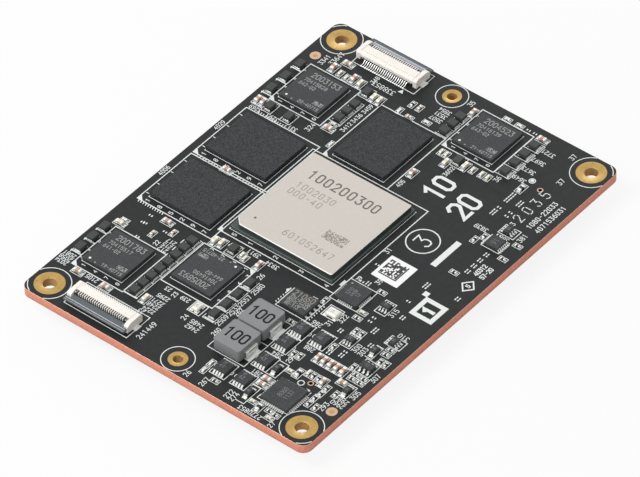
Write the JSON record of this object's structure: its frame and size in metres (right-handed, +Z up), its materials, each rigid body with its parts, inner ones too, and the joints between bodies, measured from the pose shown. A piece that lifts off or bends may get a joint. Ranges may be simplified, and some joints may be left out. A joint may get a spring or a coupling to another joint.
{
  "type": "system on module",
  "caption": "Small processor board with a lidded processor, memory, power parts, two flip-latch ribbon sockets and a board-to-board plug below.",
  "frame": {"origin": "middle of the board's outline, on the mating plane of the plug under it", "axes": "+X along the board's 95 mm side, +Y along its 70 mm side towards the memory packages, +Z up out of the processor's lid"},
  "size_m": [0.095, 0.07, 0.0082],
  "materials": {
    "board": "matte dark grey solder mask over laminate",
    "substrate": "dark laminate",
    "lid": "fine satin nickel",
    "memory": "matt moulding compound",
    "moulding": "matt moulding compound",
    "coil": "pressed grey powder body",
    "choke": "dark grey moulding",
    "crystal": "satin metal lid",
    "socket_housing": "warm white moulding",
    "latch": "grey-blue moulding",
    "plug": "black moulding"
  },
  "bodies": {
    "module": {"board_plug": "plug", "chip_inductor_01": "choke", "chip_inductor_02": "choke", "chip_inductor_03": "choke", "chip_inductor_04": "choke", "chip_inductor_05": "choke", "chip_inductor_06": "choke", "chip_inductor_07": "choke", "chip_inductor_08": "choke", "chip_inductor_09": "choke", "chip_inductor_10": "choke", "chip_inductor_11": "choke", "chip_inductor_12": "choke", "chip_inductor_13": "choke", "chip_inductor_14": "choke", "chip_inductor_15": "choke", "chip_inductor_16": "choke", "chip_inductor_17": "choke", "chip_inductor_18": "choke", "chip_inductor_19": "choke", "chip_inductor_20": "choke", "chip_inductor_21": "choke", "chip_inductor_22": "choke", "chip_inductor_23": "choke", "chip_inductor_24": "choke", "chip_inductor_25": "choke", "chip_inductor_26": "choke", "chip_inductor_27": "choke", "chip_inductor_28": "choke", "chip_inductor_29": "choke", "chip_inductor_30": "choke", "chip_inductor_31": "choke", "chip_inductor_32": "choke", "chip_inductor_33": "choke", "circuit_board": "board", "crystal": "crystal", "flash_chip": "moulding", "interface_chip": "moulding", "memory_1": "memory", "memory_2": "memory", "memory_3": "memory", "power_controller": "moulding", "power_inductor_1": "coil", "power_inductor_2": "coil", "power_manager_1": "moulding", "power_manager_2": "moulding", "power_manager_3": "moulding", "power_manager_4": "moulding", "power_transistor_1": "moulding", "power_transistor_2": "moulding", "power_transistor_3": "moulding", "power_transistor_4": "moulding", "power_transistor_5": "moulding", "power_transistor_6": "moulding", "processor_lid": "lid", "processor_substrate": "substrate", "ribbon_socket_left": "socket_housing", "ribbon_socket_right": "socket_housing"},
    "left_latch": {"ribbon_latch_left": "latch"},
    "right_latch": {"ribbon_latch_right": "latch"}
  },
  "joints": [
    {"name": "left_latch_hinge", "type": "hinge", "parent": "module", "child": "left_latch", "pos_m": [-0.04425, 0.01795, 0.00655], "axis": [0, 1, 0], "range_deg": [0, 90]},
    {"name": "right_latch_hinge", "type": "hinge", "parent": "module", "child": "right_latch", "pos_m": [0.0451, 0.01795, 0.00655], "axis": [0, -1, 0], "range_deg": [0, 90]}
  ]
}
